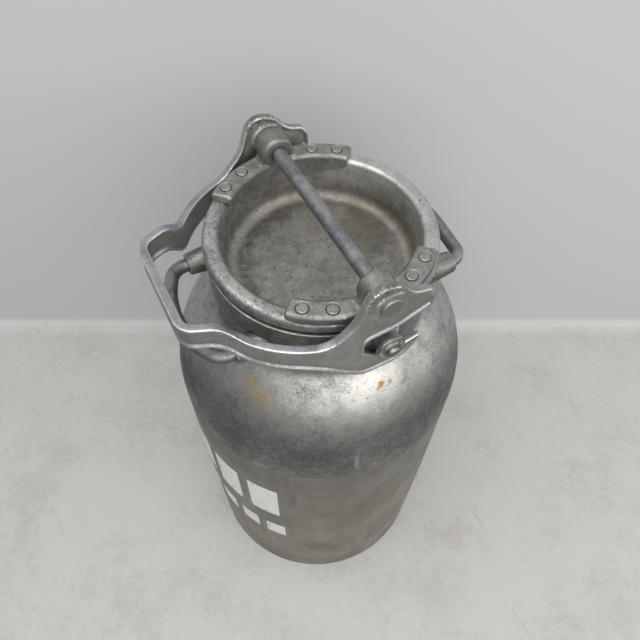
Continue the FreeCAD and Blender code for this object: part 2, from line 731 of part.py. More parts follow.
def lever_band(name, inset):
    """Flat bar bent along the lever's path, as tall as the lever needs."""
    body = new_body(name)
    path = lever_path(body, name + "_path")
    section = new_sketch(body, name + "_section", "YZ_Plane")
    bind(section, **{"AttachmentOffset.Base.z": "nose_reach + overrun"})
    near = f"-(cheek_inside + {inset})"
    far = f"-(cheek_inside + lever_thick - {inset})"
    low = "rod_height - jaw_bottom - overrun"
    high = "rod_height + hump_top + overrun"
    outline(section, [(near, low), (near, high), (far, high), (far, low)])
    pipe = body.newObject("PartDesign::AdditivePipe", name + "_sweep")
    pipe.Profile = section
    pipe.Spine = (path, [])
    return body


def lever_side(body, name):
    """Outline of the lever seen from the side, in heights from the rod's axis."""
    def at(forward, drop, *radius):
        return (forward, f"rod_height - ({drop})", *radius)

    sketch = new_sketch(body, name, "XZ_Plane")
    far = "-(grip_reach + overrun)"
    grip_bottom = "grip_top + grip_depth"
    arm_bottom = "arm_top + arm_depth"
    outline(sketch, [
        at(far, "grip_top"),
        at("-step_outer", "grip_top", "step_round"),
        at("-step_inner", "arm_top", "step_round"),
        at("-arm_end", "arm_top", "arm_round"),
        at("-hollow_back", "hollow_drop", "arm_round"),
        at("-hump_back", "-hump_top", "hump_back_round"),
        at("hump_front", "-hump_top", "hump_front_round"),
        at("dip_forward", "-dip_rise", "dip_round"),
        at("nose_top_forward", "-nose_top_rise", "nose_round"),
        at("nose_reach", "nose_front_drop", "nose_round"),
        at("nose_reach", "nose_drop", "nose_round / 2"),
        at("slot_mouth", "slot_roof - 1", "arm_round"),
        at("-slot_back", "slot_roof", "slot_round"),
        at("-slot_back", "slot_floor", "slot_round"),
        at("cam_forward", "cam_low", "cam_round"),
        at("jaw_reach", "jaw_tip", "jaw_tip_round"),
        at("jaw_bend", "jaw_bottom", "arm_round"),
        at("-jaw_heel", "jaw_bottom", "arm_round"),
        at("-belly_end", arm_bottom, "belly_round"),
        at("-(step_inner + step_lag)", arm_bottom, "step_round"),
        at("-(step_outer + step_lag)", grip_bottom, "step_round"),
        at(far, grip_bottom),
    ])
    return sketch


def extruded(name, source, width):
    """A face or closed outline of the XZ plane, pushed out to both sides."""
    block = doc.addObject("Part::Extrusion", name)
    block.Base = source
    block.DirMode = "Custom"
    block.Dir = Y_AXIS
    block.Symmetric = True
    block.Solid = True
    bind(block, LengthFwd=width)
    return block


def lever():
    """One forging: two cheeks with hooks, two arms round the rim and the grip between them."""
    outside = "(cheek_inside + lever_thick)"
    width = f"2 * {outside} + overrun"
    band = lever_band("lever_band", "0")
    web = lever_band("lever_web", "border_height")
    holder = new_body("lever_side_view")
    side = lever_side(holder, "lever_side")
    doc.recompute()
    inner = doc.addObject("Part::Offset2D", "lever_side_inset")
    inner.Source = side
    inner.Join = 0
    bind(inner, Value="-border_width")
    blank = boolean("Common", "lever_blank", band, extruded("lever_silhouette", side, width))
    trough = boolean("Cut", "lever_trough", extruded("lever_inset", inner, width), web)
    recessed = boolean("Cut", "lever_recessed", blank, trough)
    boss = doc.addObject("Part::Cylinder", "lever_boss_rod")
    bind(boss, Radius="lever_boss_radius", Height=f"2 * {outside}")
    gap = doc.addObject("Part::Cylinder", "lever_boss_gap")
    bind(gap, Radius="lever_boss_radius + edge_round", Height="2 * cheek_inside")
    bore = doc.addObject("Part::Cylinder", "lever_rod_bore")
    bind(bore, Radius="rod_radius", Height=f"2 * ({outside} + overrun)")
    for rod, reach in ((boss, outside), (gap, "cheek_inside"), (bore, f"{outside} + overrun")):
        rod.Placement = FreeCAD.Placement(FreeCAD.Vector(0, 0, 0), FACING_MINUS_Y)
        bind(rod, **{"Placement.Base.y": reach, "Placement.Base.z": "rod_height"})
    discs = boolean("Cut", "lever_boss_discs", boss, gap)
    solid = boolean("Fuse", "lever_with_bosses", recessed, discs)
    finished = boolean("Cut", "lever_finished", solid, bore)
    finished.Label = "lever"
    return finished


# ---------------------------------------------------------------- rollers and studs

def on_stud(body, side):
    """Puts a piece turned about Z on one stud's axis, with Z=0 at the can's axis."""
    body.Placement = FreeCAD.Placement(FreeCAD.Vector(0, 0, 0), SIDES[side])
    bind(body, **{"Placement.Base.x": "roller_forward", "Placement.Base.z": "rod_height - roller_drop"})
    return body


def roller(side):
    near = "stud_pad_face + roller_gap"
    far = near + " + roller_length"
    return on_stud(turned("roller_" + side, [
        ("stud_radius + stud_play", near),
        ("roller_radius", near, "edge_break"),
        ("roller_radius", far, "edge_break"),
        ("stud_radius + stud_play", far),
    ]), side)


def roller_washer(side):
    near = "stud_pad_face + roller_length + 2 * roller_gap"
    far = near + " + washer_thick"
    return on_stud(turned("roller_washer_" + side, [
        ("stud_radius", near),
        ("washer_radius", near, "edge_break"),
        ("washer_radius", far, "edge_round"),
        ("stud_radius", far),
    ]), side)


def roller_stud(side):
    """Stud fixed in the collar, riveted over outside the washer."""
    root = "stud_pad_face - stud_depth + edge_break"
    outside = "stud_pad_face + roller_length + 2 * roller_gap + washer_thick"
    ring = outside + " + stud_collar_thick"
    top = ring + " + stud_dome_height"
    return on_stud(turned("roller_stud_" + side, [
        ("0", root),
        ("stud_radius", root, "edge_break"),
        ("stud_radius", outside),
        ("stud_collar_radius", outside),
        ("stud_collar_radius", ring, "edge_break"),
        ("stud_dome_radius", ring),
        ("stud_dome_radius", top, "stud_dome_height * 0.87"),
        ("0", top),
    ]), side)


# ---------------------------------------------------------------- carry handles

def carry_handle(side, turn):
    """Round bar bent to a bow, both ends in sockets."""
    name = "carry_handle_" + side
    body = new_body(name)
    path = new_sketch(body, name + "_path", "XY_Plane")
    bind(path, **{"AttachmentOffset.Base.z": "handle_height"})
    end = f"-({side}_socket - socket_depth)"
    tip = f"({side}_reach + handle_bow * (1 / cos({side}_lean) - 1))"
    corner = f"-({tip} - handle_spread * tan({side}_lean))"
    outline(path, [
        (end, "-handle_spread"),
        (corner, "-handle_spread", f"{side}_bend"),
        ("-" + tip, "0", "handle_bow"),
        (corner, "handle_spread", f"{side}_bend"),
        (end, "handle_spread"),
    ], closed=False)
    section = new_sketch(body, name + "_section", "YZ_Plane")
    bind(section, **{"AttachmentOffset.Base.z": end})
    circle(section, "-handle_spread", "handle_height", "handle_bar")
    pipe = body.newObject("PartDesign::AdditivePipe", name + "_sweep")
    pipe.Profile = section
    pipe.Spine = (path, [])
    body.Placement = FreeCAD.Placement(FreeCAD.Vector(0, 0, 0), turn)
    return body


def handle_socket(side, number, turn):
    """Tapered stub that holds one end of a carry handle, cut to fit the neck."""
    name = f"handle_socket_{side}_{number}"
    start = "neck_radius * 0.6"
    mouth_x = side + "_socket"
    stub = doc.addObject("Part::Cone", name + "_stub")
    bind(stub, Radius1="socket_root", Radius2="socket_mouth", Height=f"{mouth_x} - {start}")
    bore = doc.addObject("Part::Cylinder", name + "_bore")
    bind(bore, Radius="handle_bar", Height="socket_depth + overrun")
    y_sign = "-" if number == 1 else ""
    for piece, foot in ((stub, start), (bore, mouth_x + " - socket_depth")):
        piece.Placement = FreeCAD.Placement(FreeCAD.Vector(0, 0, 0), FreeCAD.Rotation(Y_AXIS, -90))
        bind(piece, **{
            "Placement.Base.x": f"-({foot})",
            "Placement.Base.y": f"{y_sign}handle_spread",
            "Placement.Base.z": "handle_height",
        })
    neck = doc.addObject("Part::Cylinder", name + "_neck")
    bind(neck, Radius="neck_radius", Height="collar_bottom")
    mouth = doc.addObject("Part::Cylinder", name + "_collar")
    bind(mouth, Radius="collar_radius", Height="collar_top - collar_bottom")
    bind(mouth, **{"Placement.Base.z": "collar_bottom"})
    drilled = boolean("Cut", name + "_drilled", stub, bore)
    fitted = boolean("Cut", name + "_on_neck", drilled, neck)
    finished = boolean("Cut", name + "_finished", fitted, mouth)
    finished.Label = name
    finished.Placement = FreeCAD.Placement(FreeCAD.Vector(0, 0, 0), turn)
    return finished


# ---------------------------------------------------------------- assembly

def build():
    """Every piece, each an object whose Label names its file."""
    pieces = [
        lower_shell(), foot_ring(), shoulder_shell(), collar(),
        lid_pan(), lid_gasket(), cross_rod(), lever(),
    ]
    for side, turn in (("back", FreeCAD.Rotation()), ("front", HALF_TURN)):
        for piece in (saddle("lid_saddle_" + side), saddle_rivets("saddle_rivets_" + side)):
            piece.Placement = FreeCAD.Placement(FreeCAD.Vector(0, 0, 0), turn)
            pieces.append(piece)
    for side in SIDES:
        pieces += [roller(side), roller_washer(side), roller_stud(side)]
    for side, turn in (("grip_side", FreeCAD.Rotation()), ("nose_side", HALF_TURN)):
        pieces.append(carry_handle(side, turn))
        pieces += [handle_socket(side, number, turn) for number in (1, 2)]
    return pieces


def check(pieces):
    """Stops on a failed object or a bad shape."""
    for thing in doc.Objects:
        if "Invalid" in thing.State or "Error" in thing.State:
            raise RuntimeError(f"{thing.Name} failed: {thing.State}")
    for piece in pieces:
        shape = piece.Shape
        if shape.isNull() or not shape.isValid() or not shape.Solids:
            raise RuntimeError(f"{piece.Label} has a bad shape")


def export(pieces):
    os.makedirs("parts", exist_ok=True)
    for piece in pieces:
        piece.Shape.exportStep(f"parts/{piece.Label}.step")


parts = build()
doc.recompute()
check(parts)
export(parts)
for part in parts:
    bounds = part.Shape.BoundBox
    print(f"{part.Label}: {len(part.Shape.Solids)} solids, {part.Shape.Volume / 1000:.1f} cm3,"
          f" z {bounds.ZMin:.1f} to {bounds.ZMax:.1f}")
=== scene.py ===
import json
import math

import bpy
from mathutils import Euler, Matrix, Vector


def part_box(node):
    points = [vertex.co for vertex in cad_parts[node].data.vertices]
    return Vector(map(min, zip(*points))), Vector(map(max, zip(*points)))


# A dairy milk can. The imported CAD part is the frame, and this script gives it metal, wear and light.
# Lengths are in metres, and the part stands on z = 0 with its axis on the z axis.
# Angles round the can are in degrees from +x, which points away from the lever's grip.

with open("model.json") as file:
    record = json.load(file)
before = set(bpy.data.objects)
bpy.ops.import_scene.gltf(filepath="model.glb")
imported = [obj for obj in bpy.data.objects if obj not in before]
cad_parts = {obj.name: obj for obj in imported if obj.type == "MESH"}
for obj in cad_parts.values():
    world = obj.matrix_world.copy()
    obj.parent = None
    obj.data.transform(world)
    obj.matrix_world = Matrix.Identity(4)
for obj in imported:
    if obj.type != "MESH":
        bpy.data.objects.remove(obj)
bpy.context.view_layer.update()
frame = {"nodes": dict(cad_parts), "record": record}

MM = 0.001
BODY_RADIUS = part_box("lower_shell")[1].x
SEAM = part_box("shoulder_shell")[0].z
RIM_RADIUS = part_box("lid_pan")[1].x
DISH_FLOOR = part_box("lid_pan")[0].z

# The height of the ring scribed round the lower shell.
RING = 279 * MM

# The rows of painted blocks: bottom and top in mm, then pitch and width in degrees round the can.
BLOCK_ROWS = ((196, 268, 19, 14), (126, 160, 14, 9.5))
# How far the rows reach to either side of the grip side's middle.
BLOCKS_REACH = 47.5

# The size of the small cubes that each casting or forging is rebuilt from, to melt its sharp edges.
MELT_SIZES = {"lever": 0.85 * MM, "lid_saddle": 0.6 * MM, "handle_socket": 0.6 * MM}
MELT_ROUNDS = 3

CAMERA_PLACE = Vector((-0.15195, -0.27582, 0.82445))
CAMERA_TURN = Euler([math.radians(angle) for angle in (34.8276, -0.7318, -27.9243)])
CAMERA_ANGLE = math.radians(56.145)

# The wall stands across this direction from the can's axis, at this distance.
WALL_AWAY = Vector((0.4605, 0.8877, 0))
WALL_DISTANCE = 0.249
WALL_BEND = 0.02
ROOM_REACH = 3.0


def around(degrees, height, radius):
    """A point at this angle from +x, this height and this distance from the can's axis."""
    angle = math.radians(degrees)
    return Vector((radius * math.cos(angle), radius * math.sin(angle), height))


# Colours

def grey(level, warmth=0.0):
    """An opaque grey, browner when warmth is positive and bluer when it is negative."""
    return (level * (1 + warmth * 0.4), level, level * (1 - warmth * 1.3), 1.0)


OCHRE = (0.36, 0.17, 0.045, 1.0)
PALE_OCHRE = (0.52, 0.38, 0.12, 1.0)
AMBER = (0.48, 0.23, 0.05, 1.0)
BROWN = (0.27, 0.18, 0.09, 1.0)
RUST = (0.20, 0.075, 0.025, 1.0)
GRIME = (0.045, 0.040, 0.034, 1.0)
PAINT = (0.72, 0.72, 0.70, 1.0)

WALL = (0.57, 0.58, 0.595, 1.0)
FLOOR = (0.50, 0.495, 0.48, 1.0)
FLOOR_DIRT = (0.37, 0.34, 0.295, 1.0)
FLOOR_SCUFF = (0.33, 0.315, 0.295, 1.0)
FLOOR_SCRATCH = (0.27, 0.26, 0.245, 1.0)
FLOOR_BEYOND = (0.05, 0.05, 0.05, 1.0)
SKY = (0.97, 0.985, 1.0, 1.0)

# The brightness of the backdrop above the wall, as the camera sees it.
BACKDROP = 0.62

# The shoulder's small stains: angle, height and size in mm, colour and strength.
STAINS = (
    (-91.0, 410.0, 3.6, AMBER, 0.95),
    (-89.4, 413.5, 3.3, AMBER, 0.95),
    (-92.4, 407.5, 2.4, AMBER, 0.7),
    (-85.2, 411.5, 2.6, BROWN, 0.7),
    (-86.2, 405.5, 2.2, BROWN, 0.6),
    (-84.6, 407.0, 1.6, BROWN, 0.6),
    (-143.5, 404.0, 3.4, AMBER, 0.5),
    (-138.0, 409.0, 2.0, BROWN, 0.5),
    (-118.0, 417.0, 2.2, BROWN, 0.6),
)

# The dish's dark patches: angle, distance from the axis and size in mm, and strength. The large one at 15°
# is painted shade on the dish's side away from the grip.
DISH_PATCHES = ((96, 61, 12, 0.6), (15, 50, 42, 0.65), (178, 62, 9, 0.6))


# Materials

class Recipe:
    """A material under construction. Its methods add nodes and give the socket that holds the result.
    Lengths are in metres on the object, so a grain of 2 mm is 2 mm on every piece."""

    def __init__(self, name, seed):
        self.material = bpy.data.materials.new(name)
        self.material.use_nodes = True
        self.tree = self.material.node_tree
        self.shader = self.tree.nodes["Principled BSDF"]
        self.draws = seed
        self.place = self.node("ShaderNodeTexCoord").outputs["Object"]
        self.colour = None
        self.relief = []

    def node(self, kind, *inputs, **settings):
        """A node with these settings, whose first inputs are fed in order."""
        made = self.tree.nodes.new(kind)
        for name, value in settings.items():
            setattr(made, name, value)
        for socket, value in zip(made.inputs, inputs):
            self.feed(socket, value)
        return made

    def feed(self, socket, value):
        """Gives an input a link, a plain value, or nothing when value is None."""
        if isinstance(value, bpy.types.NodeSocket):
            self.tree.links.new(value, socket)
        elif value is not None:
            socket.default_value = value

    # Arithmetic

    def maths(self, operation, *values):
        return self.node("ShaderNodeMath", *values, operation=operation).outputs[0]

    def vector_maths(self, operation, *values):
        return self.node("ShaderNodeVectorMath", *values, operation=operation)

    def add(self, first, second):
        return self.maths("ADD", first, second)

    def times(self, first, second):
        return self.maths("MULTIPLY", first, second)

    def layered(self, *layers):
        """The sum of these patterns, each times its own weight."""
        total = self.times(*layers[0])
        for layer in layers[1:]:
            total = self.add(total, self.times(*layer))
        return total

    def step(self, value, low, high):
        """0 where value is under low, 1 where it is over high, and smooth between. With low over high,
        it runs the other way."""
        made = self.node("ShaderNodeMapRange", value, low, high, interpolation_type="SMOOTHSTEP")
        return made.outputs[0]

    def span(self, share, low, high):
        """low where share is 0 and high where it is 1."""
        return self.node("ShaderNodeMapRange", share, 0.0, 1.0, low, high).outputs[0]

    def band(self, value, low, high, soft):
        """1 where value is between low and high, fading out over a soft margin on each side."""
        above = self.step(value, low - soft, low + soft)
        below = self.step(value, high + soft, high - soft)
        return self.times(above, below)

    def blend(self, share, first, second):
        """The first colour where share is 0 and the second where it is 1."""
        made = self.node("ShaderNodeMix", share, data_type="RGBA")
        self.feed(made.inputs[6], first)
        self.feed(made.inputs[7], second)
        return made.outputs[2]

    # Patterns

    def moved(self, stretch):
        """The place on the object, stretched, and shifted so that no two patterns line up."""
        self.draws += 1
        shift = (0.37 * self.draws, 0.71 * self.draws, 0.13 * self.draws)
        squeeze = tuple(1 / part for part in stretch)
        return self.node("ShaderNodeMapping", self.place, shift, None, squeeze).outputs[0]

    def noise(self, size, detail=4.0, rough=0.6, stretch=(1, 1, 1)):
        """Cloudy noise from 0 to 1 with features of this size."""
        made = self.node("ShaderNodeTexNoise", self.moved(stretch), None, 1 / size, detail, rough)
        return made.outputs[0]

    def specks(self, size, share):
        """1 in small round specks about this far apart, 0 elsewhere. A larger share makes larger specks."""
        cells = self.node("ShaderNodeTexVoronoi", self.moved((1, 1, 1)), None, 1 / size)
        return self.step(cells.outputs["Distance"], share, share * 0.44)

    def blotch(self, centre, radius, ragged, stretch=(1, 1, 1)):
        """1 within a ragged patch round a point of the object, 0 elsewhere."""
        away = self.vector_maths("SUBTRACT", self.place, tuple(centre)).outputs[0]
        squeeze = tuple(1 / part for part in stretch)
        away = self.vector_maths("MULTIPLY", away, squeeze).outputs[0]
        length = self.vector_maths("LENGTH", away).outputs["Value"]
        wander = self.times(self.add(self.noise(radius * 0.5), -0.5), radius * ragged)
        return self.step(self.add(length, wander), radius, radius * 0.35)

    # The surface and the place on it

    def part(self, axis):
        """The x, y or z of the place on the object."""
        return self.node("ShaderNodeSeparateXYZ", self.place).outputs[axis]

    def radius(self):
        """The distance from the can's axis."""
        flat = self.vector_maths("MULTIPLY", self.place, (1, 1, 0)).outputs[0]
        return self.vector_maths("LENGTH", flat).outputs["Value"]

    def edges(self, low, high):
        """1 on outward edges, from how sharply the mesh turns."""
        bent = self.node("ShaderNodeNewGeometry").outputs["Pointiness"]
        return self.step(bent, low, high)

    def shaded_hollows(self, reach):
        """1 in corners and under overhangs, where shade falls and dirt collects; darkening it there paints
        shade as well as dirt.
        """
        made = self.node("ShaderNodeAmbientOcclusion", samples=6, only_local=False)
        self.feed(made.inputs["Distance"], reach)
        return self.step(made.outputs["AO"], 0.85, 0.25)

    def facing_up(self):
        """The upward part of the surface's normal."""
        normal = self.node("ShaderNodeNewGeometry").outputs["Normal"]
        return self.node("ShaderNodeSeparateXYZ", normal).outputs[2]

    # Putting the material together

    def cover(self, mask, strength, colour):
        """Lays a colour over what is there, at this strength where mask is 1."""
        self.colour = self.blend(self.times(mask, strength), self.colour, colour)

    def emboss(self, mask, height):
        """Raises the surface by this height where mask is 1, or sinks it."""
        self.relief.append(self.times(mask, height))

    def grain(self, size, height):
        """A fine uneven relief."""
        self.emboss(self.noise(size, 6.0), height)

    def finish(self, metallic, roughness):
        """Feeds the shader and gives the material."""
        self.feed(self.shader.inputs["Base Color"], self.colour)
        self.feed(self.shader.inputs["Metallic"], metallic)
        self.feed(self.shader.inputs["Roughness"], roughness)
        height = self.relief[0]
        for more in self.relief[1:]:
            height = self.add(height, more)
        bump = self.node("ShaderNodeBump")
        self.feed(bump.inputs["Height"], height)
        bump.inputs["Distance"].default_value = 1.0
        self.feed(self.shader.inputs["Normal"], bump.outputs[0])
        return self.material


def painted_blocks(recipe):
    """Rows of plain white blocks on the grip side of the can, chipped with age."""
    across = recipe.maths("ARCTAN2", recipe.times(recipe.part(1), -1.0), recipe.times(recipe.part(0), -1.0))
    height = recipe.part(2)
    wander = recipe.times(recipe.add(recipe.noise(3 * MM), -0.5), 1.6 * MM)
    ragged_height = recipe.add(height, wander)
    shown = 0.0
    for low, high, pitch, width in BLOCK_ROWS:
        turn = recipe.add(recipe.maths("DIVIDE", across, math.radians(pitch)), 0.5)
        offset = recipe.maths("ABSOLUTE", recipe.add(recipe.maths("FRACT", turn), -0.5))
        half = width / pitch / 2
        columns = recipe.step(offset, half + 0.02, half - 0.02)
        rows = recipe.band(ragged_height, low * MM, high * MM, 0.4 * MM)
        shown = recipe.add(recipe.times(columns, rows), shown)
    outer = math.radians(BLOCKS_REACH + 0.5)
    inner = math.radians(BLOCKS_REACH - 0.5)
    reach = recipe.step(recipe.maths("ABSOLUTE", across), outer, inner)
    chips = recipe.step(recipe.noise(5 * MM, 8.0, 0.7), 0.36, 0.42)
    return recipe.times(recipe.times(shown, reach), chips)


def body_aluminium(recipe):
    """The lower shell: dull grey-brown aluminium with faint runs, a scribed ring and worn paint."""
    height = recipe.part(2)
    clouds = recipe.noise(60 * MM, 6.0, 0.65)
    runs = recipe.noise(9 * MM, 5.0, 0.6, (1, 1, 9))
    fine = recipe.noise(1.6 * MM, 3.0)
    tone = recipe.step(recipe.layered((clouds, 0.55), (runs, 0.2), (fine, 0.25)), 0.32, 0.68)
    recipe.colour = recipe.blend(tone, grey(0.19, 0.11), grey(0.32, 0.08))
    rusty = recipe.step(recipe.noise(38 * MM, 5.0), 0.60, 0.74)
    recipe.cover(rusty, 0.35, grey(0.20, 0.30))
    near_foot = recipe.times(recipe.step(height, 60 * MM, 0.0), recipe.step(recipe.noise(20 * MM), 0.4, 0.6))
    recipe.cover(near_foot, 0.5, grey(0.15, 0.16))
    spot = recipe.blotch(around(-128, 282 * MM, BODY_RADIUS), 3.2 * MM, 1.2)
    run = recipe.blotch(around(-128, 256 * MM, BODY_RADIUS), 4.0 * MM, 1.0, (1, 1, 6))
    chip = recipe.blotch(around(-146.6, 350 * MM, BODY_RADIUS), 3.0 * MM, 1.2)
    recipe.cover(spot, 0.8, RUST)
    recipe.cover(run, 0.25, GRIME)
    recipe.cover(chip, 1.0, GRIME)
    recipe.cover(recipe.specks(9 * MM, 0.09), 0.6, grey(0.10, 0.1))
    # Painted highlight: a thin pale line on the body just below the seam.
    seam_highlight = recipe.band(height, SEAM - 3.4 * MM, SEAM - 2.4 * MM, 0.6 * MM)
    recipe.cover(seam_highlight, 0.5, grey(0.55, 0.04))
    # Painted shadow: a dark band under the shoulder's lapped edge, at the seam.
    seam_shadow = recipe.band(height, SEAM - 1.8 * MM, SEAM + 1.0 * MM, 0.5 * MM)
    recipe.cover(seam_shadow, 0.85, grey(0.06, 0.08))
    ring = recipe.band(height, RING - 0.4 * MM, RING + 0.4 * MM, 0.5 * MM)
    # A dark line just above the scribed ring.
    ring_dark_line = recipe.band(height, RING + 1.2 * MM, RING + 2.0 * MM, 0.5 * MM)
    recipe.cover(ring, 0.6, grey(0.55))
    recipe.cover(ring_dark_line, 0.5, grey(0.12, 0.05))
    paint = painted_blocks(recipe)
    recipe.cover(paint, 1.0, PAINT)
    scratches = recipe.step(recipe.noise(1.2 * MM, 2.0, 0.5, (1, 1, 30)), 0.66, 0.74)
    recipe.grain(1.2 * MM, 0.05 * MM)
    recipe.grain(45 * MM, 0.5 * MM)
    recipe.emboss(scratches, -0.02 * MM)
    recipe.emboss(ring, -0.10 * MM)
    recipe.emboss(paint, 0.06 * MM)
    roughness = recipe.add(recipe.span(tone, 0.56, 0.46), recipe.times(paint, 0.1))
    return recipe.finish(recipe.span(paint, 0.82, 0.0), roughness)


def shoulder_aluminium(recipe):
    """The shoulder and neck: brighter sheet with dark patina, pits, ochre stains and one pale run, with
    painted shade over its lower band, painted highlights on its front and along the seam, and small painted
    glints.
    """
    height = recipe.part(2)
    broad = recipe.noise(48 * MM, 5.0, 0.6)
    patches = recipe.noise(10 * MM, 8.0, 0.78)
    fine = recipe.noise(2.2 * MM, 6.0, 0.85)
    # Painted shade: the tone darkens from 405 mm down to 345 mm, over the shoulder's lower band.
    low_band_shade = recipe.times(recipe.step(height, 405 * MM, 345 * MM), 0.09)
    layers = recipe.layered((broad, 0.28), (patches, 0.42), (fine, 0.42))
    tone = recipe.step(recipe.maths("SUBTRACT", layers, low_band_shade), 0.40, 0.64)
    recipe.colour = recipe.blend(tone, grey(0.18, 0.0), grey(0.47, 0.03))
    pale = recipe.step(recipe.noise(2.4 * MM, 4.0, 0.7), 0.60, 0.68)
    recipe.cover(pale, 0.4, grey(0.80, 0.03))
    # Painted highlight: a broad pale patch on the front of the shoulder.
    painted_highlight = recipe.blotch(around(-92, 407 * MM, 103 * MM), 34 * MM, 0.8)
    recipe.cover(painted_highlight, recipe.span(tone, 0.15, 0.5), grey(0.80, 0.04))
    # Painted highlight along the shoulder's lower edge, at the seam.
    seam_edge_highlight = recipe.band(height, SEAM, SEAM + 1.0 * MM, 0.5 * MM)
    recipe.cover(seam_edge_highlight, 0.5, grey(0.70, 0.02))
    ochre_field = recipe.blotch(around(-146, 404 * MM, 103 * MM), 16 * MM, 1.6)
    ochre_field = recipe.times(ochre_field, recipe.step(recipe.noise(7 * MM, 6.0, 0.7), 0.32, 0.56))
    recipe.cover(ochre_field, 0.6, PALE_OCHRE)
    stained = 0.0
    for degrees, level, size, stain, strength in STAINS:
        patch = recipe.blotch(around(degrees, level * MM, 101 * MM), size * MM, 2.2)
        recipe.cover(patch, strength, stain)
        stained = recipe.maths("MAXIMUM", patch, stained)
    front_pits = recipe.blotch(around(-98, 414 * MM, 101 * MM), 30 * MM, 1.2)
    grip_pits = recipe.blotch(around(-135, 405 * MM, 101 * MM), 16 * MM, 1.2)
    pitted = recipe.step(recipe.add(front_pits, grip_pits), 0.25, 0.7)
    ragged = recipe.step(recipe.noise(1.6 * MM, 4.0, 0.7), 0.44, 0.56)
    pits = recipe.times(recipe.times(recipe.specks(3.4 * MM, 0.30), pitted), ragged)
    pits = recipe.maths("MAXIMUM", pits, recipe.specks(11 * MM, 0.06))
    recipe.cover(pits, 0.75, grey(0.11, 0.3))
    # Painted glints: small white specks scattered over the shoulder.
    recipe.cover(recipe.specks(5 * MM, 0.09), 0.7, grey(0.85))
    drip = recipe.blotch(around(-104, 352 * MM, 131 * MM), 3.0 * MM, 0.8, (1, 1, 9))
    recipe.cover(drip, 0.45, grey(0.80))
    recipe.grain(0.9 * MM, 0.05 * MM)
    recipe.grain(2.6 * MM, 0.09 * MM)
    recipe.grain(9 * MM, 0.16 * MM)
    recipe.grain(55 * MM, 0.7 * MM)
    recipe.emboss(pits, -0.06 * MM)
    dulled = recipe.times(recipe.maths("MAXIMUM", pits, stained), 0.15)
    return recipe.finish(0.92, recipe.add(recipe.span(tone, 0.56, 0.42), dulled))


def cast_aluminium(recipe):
    """Saddles and collar: sand-cast, with dirt and painted shade in the hollows, and worn bright on the
    edges.
    """
    clouds = recipe.noise(11 * MM, 5.0, 0.65)
    fine = recipe.noise(1.5 * MM, 4.0, 0.7)
    tone = recipe.step(recipe.layered((clouds, 0.55), (fine, 0.45)), 0.36, 0.66)
    recipe.colour = recipe.blend(tone, grey(0.19, 0.04), grey(0.37, 0.03))
    # Dirt and painted shade: the hollows darken where the noise lets them.
    dirt_and_shade = recipe.times(recipe.shaded_hollows(7 * MM), recipe.step(recipe.noise(5 * MM), 0.3, 0.55))
    recipe.cover(dirt_and_shade, 0.75, grey(0.10, 0.12))
    worn = recipe.times(recipe.edges(0.515, 0.58), recipe.step(recipe.noise(4 * MM, 5.0, 0.7), 0.30, 0.55))
    recipe.cover(worn, 0.85, grey(0.82, 0.02))
    specks = recipe.specks(6 * MM, 0.11)
    recipe.cover(specks, 0.7, grey(0.08, 0.2))
    recipe.grain(0.9 * MM, 0.10 * MM)
    recipe.grain(5 * MM, 0.30 * MM)
    recipe.emboss(specks, -0.15 * MM)
    return recipe.finish(0.88, recipe.add(recipe.span(tone, 0.56, 0.44), recipe.times(worn, -0.14)))


def stained_casting(recipe):
    """The handle sockets: a similar casting, stained with ochre."""
    fine = recipe.noise(1.7 * MM, 4.0, 0.7)
    clouds = recipe.noise(8 * MM, 5.0, 0.65)
    tone = recipe.step(recipe.layered((clouds, 0.5), (fine, 0.5)), 0.36, 0.66)
    recipe.colour = recipe.blend(tone, grey(0.17, 0.04), grey(0.38, 0.03))
    stain = recipe.step(recipe.noise(6 * MM, 5.0, 0.7), 0.55, 0.66)
    recipe.cover(stain, 0.45, OCHRE)
    # Painted shade in the hollows.
    recipe.cover(recipe.shaded_hollows(8 * MM), 0.6, grey(0.08, 0.12))
    worn = recipe.times(recipe.edges(0.515, 0.58), recipe.step(recipe.noise(3 * MM, 5.0, 0.7), 0.35, 0.6))
    recipe.cover(worn, 0.8, grey(0.80, 0.02))
    recipe.grain(1.1 * MM, 0.14 * MM)
    recipe.grain(4 * MM, 0.35 * MM)
    return recipe.finish(0.88, recipe.add(recipe.span(tone, 0.55, 0.42), recipe.times(worn, -0.12)))


